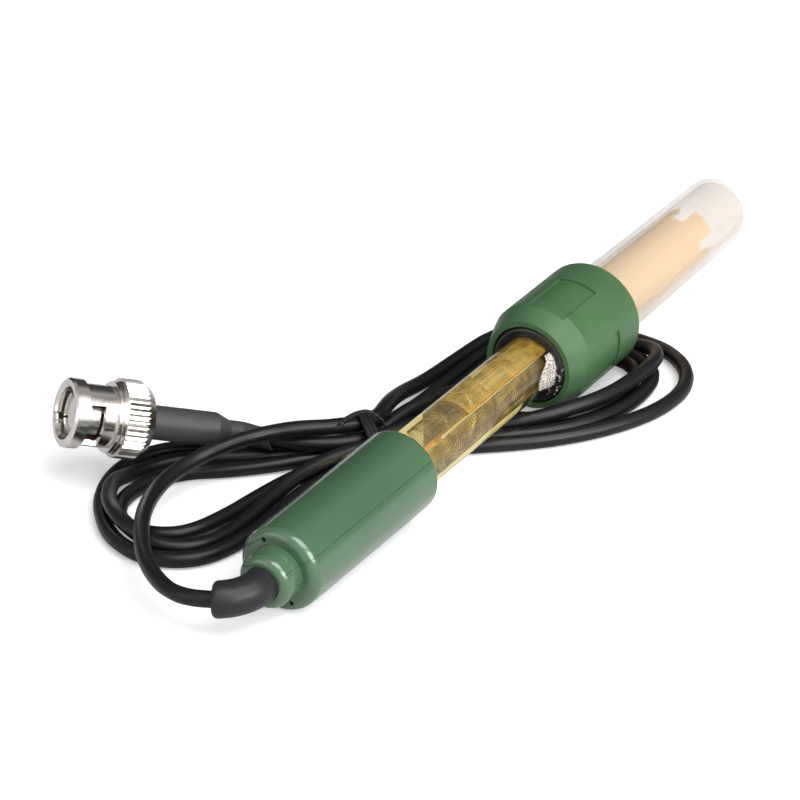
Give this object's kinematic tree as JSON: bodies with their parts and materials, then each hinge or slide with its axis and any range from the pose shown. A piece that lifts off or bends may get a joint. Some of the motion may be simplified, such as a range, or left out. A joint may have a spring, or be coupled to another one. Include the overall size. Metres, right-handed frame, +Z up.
{
  "type": "redox electrode",
  "caption": "Combination redox electrode in an amber tube with a storage bottle on its tip, and a tied coaxial cable that ends in a bayonet plug",
  "frame": {"origin": "on the surface that the electrode lies on, under the middle of the electrode with its storage bottle", "axes": "+X from the handle towards the bottle, +Z up from the surface, +Y towards the coil of cable"},
  "size_m": [0.1949, 0.0904, 0.0229],
  "materials": {
    "green_moulding": "glossy moulded plastic",
    "amber_tube": "clear amber plastic, polished",
    "clear_glass": "clear glass",
    "platinum": "polished platinum",
    "copper_lead": "bare copper wire",
    "silver_wire": "dull silver wire",
    "white_ceramic": "porous white ceramic",
    "potting": "cast black resin",
    "clear_label": "clear film",
    "black_rubber": "satin black rubber",
    "black_jacket": "smooth black jacket with a soft sheen",
    "tie_black": "black plastic strip",
    "frosted_bottle": "frosted translucent plastic",
    "green_cap": "semi-matt moulded plastic",
    "black_gasket": "black rubber with a pale salt crust",
    "nickel": "bright nickel plating",
    "white_fluoropolymer": "waxy white plastic",
    "gilded_pin": "gold plating",
    "red_gasket": "red-brown rubber",
    "spring_steel": "plain spring steel"
  },
  "bodies": {
    "electrode": {"handle": "green_moulding", "body_tube": "amber_tube", "sensor_stem": "clear_glass", "platinum_pin": "platinum", "sensor_lead": "copper_lead", "reference_winding": "silver_wire", "porous_junction": "white_ceramic", "potting_plug": "potting", "label_film": "clear_label", "cable_boot": "black_rubber", "cable": "black_jacket", "cable_tie": "tie_black", "plug_body": "nickel", "plug_insulator": "white_fluoropolymer", "plug_pin": "gilded_pin", "plug_gasket": "red_gasket", "spring_washer": "spring_steel", "retaining_clip": "spring_steel", "crimp_ferrule": "nickel", "plug_boot": "black_rubber", "plug_sleeve": "black_rubber"},
    "storage_bottle": {"bottle": "frosted_bottle"},
    "seal": {"bottle_gasket": "black_gasket"},
    "screw_cap": {"bottle_cap": "green_cap"},
    "plug_washer": {"thrust_washer": "nickel"},
    "plug_ring": {"coupling_ring": "nickel"}
  },
  "joints": [
    {"name": "bottle_pull", "type": "slide", "parent": "electrode", "child": "storage_bottle", "axis": [0.9996, 0, 0.0281], "range_m": [0, 0.078]},
    {"name": "seal_travel", "type": "slide", "parent": "electrode", "child": "seal", "axis": [-0.9996, 0, -0.0281], "range_m": [0, 0.002]},
    {"name": "cap_turn", "type": "hinge", "parent": "seal", "child": "screw_cap", "pos_m": [0.01647, 0, 0.01108], "axis": [-0.9996, 0, -0.0281], "range_deg": [0, 360]},
    {"name": "ring_draw", "type": "slide", "parent": "electrode", "child": "plug_washer", "axis": [-0.7536, 0.5888, 0.2924], "range_m": [0, 0.0006], "stiffness_N_per_m": 3000, "springref_m": -0.0002, "deforming": ["spring_washer"]},
    {"name": "ring_turn", "type": "hinge", "parent": "plug_washer", "child": "plug_ring", "pos_m": [-0.05946, 0.05427, 0.01348], "axis": [-0.7536, 0.5888, 0.2924], "continuous": true}
  ],
  "couplings": [
    {"joint": "seal_travel", "follows": "cap_turn", "m_per_rad": 0.00031831}
  ]
}
